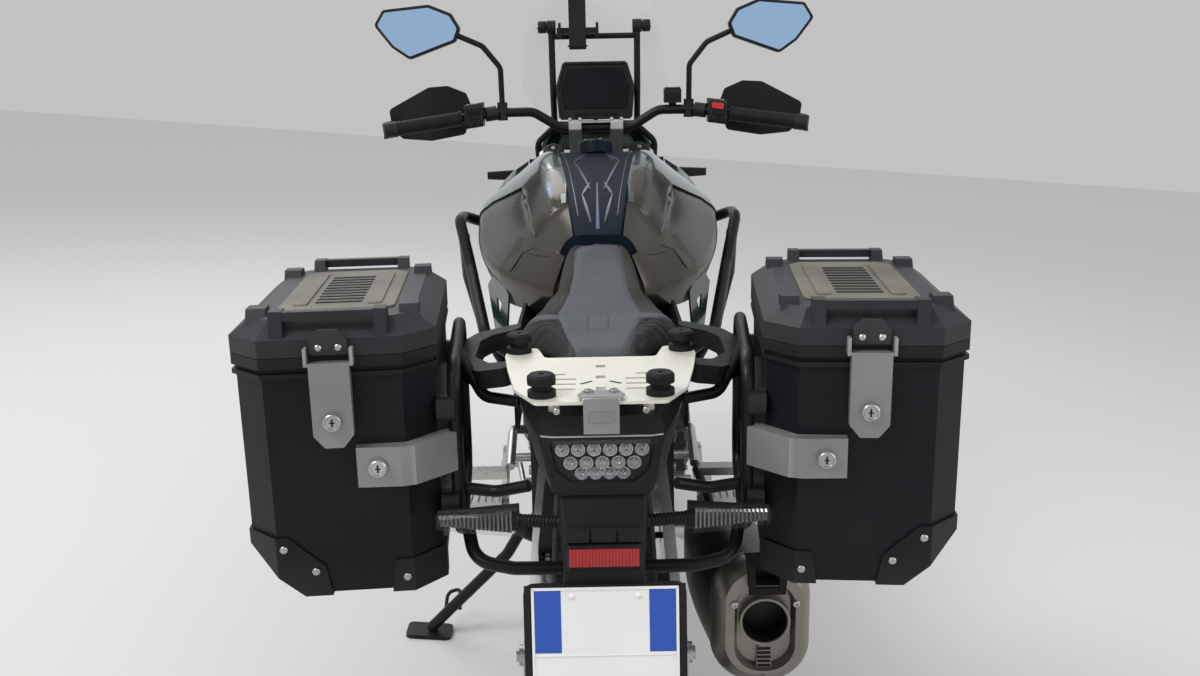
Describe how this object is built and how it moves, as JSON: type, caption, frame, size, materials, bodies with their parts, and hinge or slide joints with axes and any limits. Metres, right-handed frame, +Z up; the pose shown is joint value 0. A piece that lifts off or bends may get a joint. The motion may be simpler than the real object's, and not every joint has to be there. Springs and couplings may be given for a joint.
{
  "type": "adventure touring motorcycle with side cases",
  "caption": "Adventure touring motorcycle with hard side cases, rear rack, crash bars, hand guards and tall screen, parked leaning on its side stand.",
  "frame": {"origin": "on the ground, below the middle of the leaning motorcycle's bounding box", "axes": "+Y forward, +X to the rider's right, +Z up; the motorcycle leans 5 degrees to its left about Y"},
  "size_m": [1.0481, 2.3363, 1.428],
  "materials": {
    "frame_paint": "satin",
    "engine_grey": "satin",
    "black_metal": "satin",
    "silver_metal": "satin",
    "raw_aluminium": "satin",
    "steel": "satin",
    "bronze_metal": "satin",
    "gold_anodised": "satin",
    "wheel_black": "satin",
    "green_paint": "gloss",
    "black_gloss": "gloss",
    "black_plastic": "matte",
    "case_plastic": "matte",
    "latch_grey": "satin",
    "seat_cover": "matte",
    "rubber": "matte",
    "tyre_rubber": "matte",
    "clear_lens": "gloss",
    "clear_screen": "gloss",
    "red_lens": "gloss",
    "plate_white": "satin",
    "mirror_face": "mirror"
  },
  "bodies": {
    "chassis": {"main_frame": "frame_paint", "subframe": "frame_paint", "engine": "engine_grey", "radiator": "black_metal", "skid_plate": "raw_aluminium", "exhaust_headers": "steel", "muffler": "black_metal", "muffler_cap": "bronze_metal", "swingarm": "silver_metal", "shock_absorber": "black_metal", "drive_chain": "steel", "fuel_tank": "green_paint", "tank_cover": "black_gloss", "knee_panels": "bronze_metal", "tank_shrouds": "green_paint", "rider_seat": "seat_cover", "pillion_seat": "seat_cover", "tail_cowl": "black_plastic", "grab_handles": "black_plastic", "rear_rack": "silver_metal", "rack_buffers": "rubber", "tail_light": "clear_lens", "plate_hanger": "black_plastic", "number_plate": "plate_white", "rear_reflector": "red_lens", "indicators": "clear_lens", "pannier_rack": "frame_paint", "left_case": "case_plastic", "right_case": "case_plastic", "case_latches": "latch_grey", "crash_bars": "frame_paint", "front_cowl": "green_paint", "headlamps": "clear_lens", "windscreen": "clear_screen", "screen_bracket": "black_plastic", "instrument_display": "black_gloss", "footpegs": "steel", "rear_caliper": "black_metal", "rear_guards": "black_plastic"},
    "steering": {"fork_upper_tubes": "gold_anodised", "fork_lower_legs": "black_metal", "triple_clamps": "silver_metal", "handlebar": "black_metal", "grips": "rubber", "switchgear": "black_plastic", "hand_guards": "black_plastic", "mirrors": "black_plastic", "mirror_glass": "mirror_face", "front_fender": "black_plastic", "front_calipers": "black_metal"},
    "front_wheel_assembly": {"front_tyre": "tyre_rubber", "front_wheel": "wheel_black", "front_discs": "steel"},
    "rear_wheel_assembly": {"rear_tyre": "tyre_rubber", "rear_wheel": "wheel_black", "rear_disc": "steel", "rear_sprocket": "steel"},
    "side_stand_leg": {"side_stand": "black_metal"},
    "left_case_lid": {"left_lid": "case_plastic"},
    "right_case_lid": {"right_lid": "case_plastic"}
  },
  "joints": [
    {"name": "steering_turn", "type": "hinge", "parent": "chassis", "child": "steering", "pos_m": [0.01912, 0.46391, 0.88709], "axis": [-0.077, -0.4695, 0.8796], "range_deg": [-40, 40]},
    {"name": "front_wheel_spin", "type": "hinge", "parent": "steering", "child": "front_wheel_assembly", "pos_m": [0.06663, 0.8232, 0.34404], "axis": [0.9962, 0, 0.0872], "continuous": true},
    {"name": "rear_wheel_spin", "type": "hinge", "parent": "chassis", "child": "rear_wheel_assembly", "pos_m": [0.06872, -0.7468, 0.32013], "axis": [0.9962, 0, 0.0872], "continuous": true},
    {"name": "side_stand_fold", "type": "hinge", "parent": "chassis", "child": "side_stand_leg", "pos_m": [-0.09447, -0.1868, 0.28076], "axis": [-0.9397, 0, 0.342], "range_deg": [0, 95]},
    {"name": "left_lid_open", "type": "hinge", "parent": "chassis", "child": "left_case_lid", "pos_m": [-0.34294, -0.65177, 0.87034], "axis": [-0.9924, -0.0872, -0.0868], "range_deg": [0, 95]},
    {"name": "right_lid_open", "type": "hinge", "parent": "chassis", "child": "right_case_lid", "pos_m": [0.37859, -0.65177, 0.93347], "axis": [-0.9924, 0.0872, -0.0868], "range_deg": [0, 95]}
  ]
}
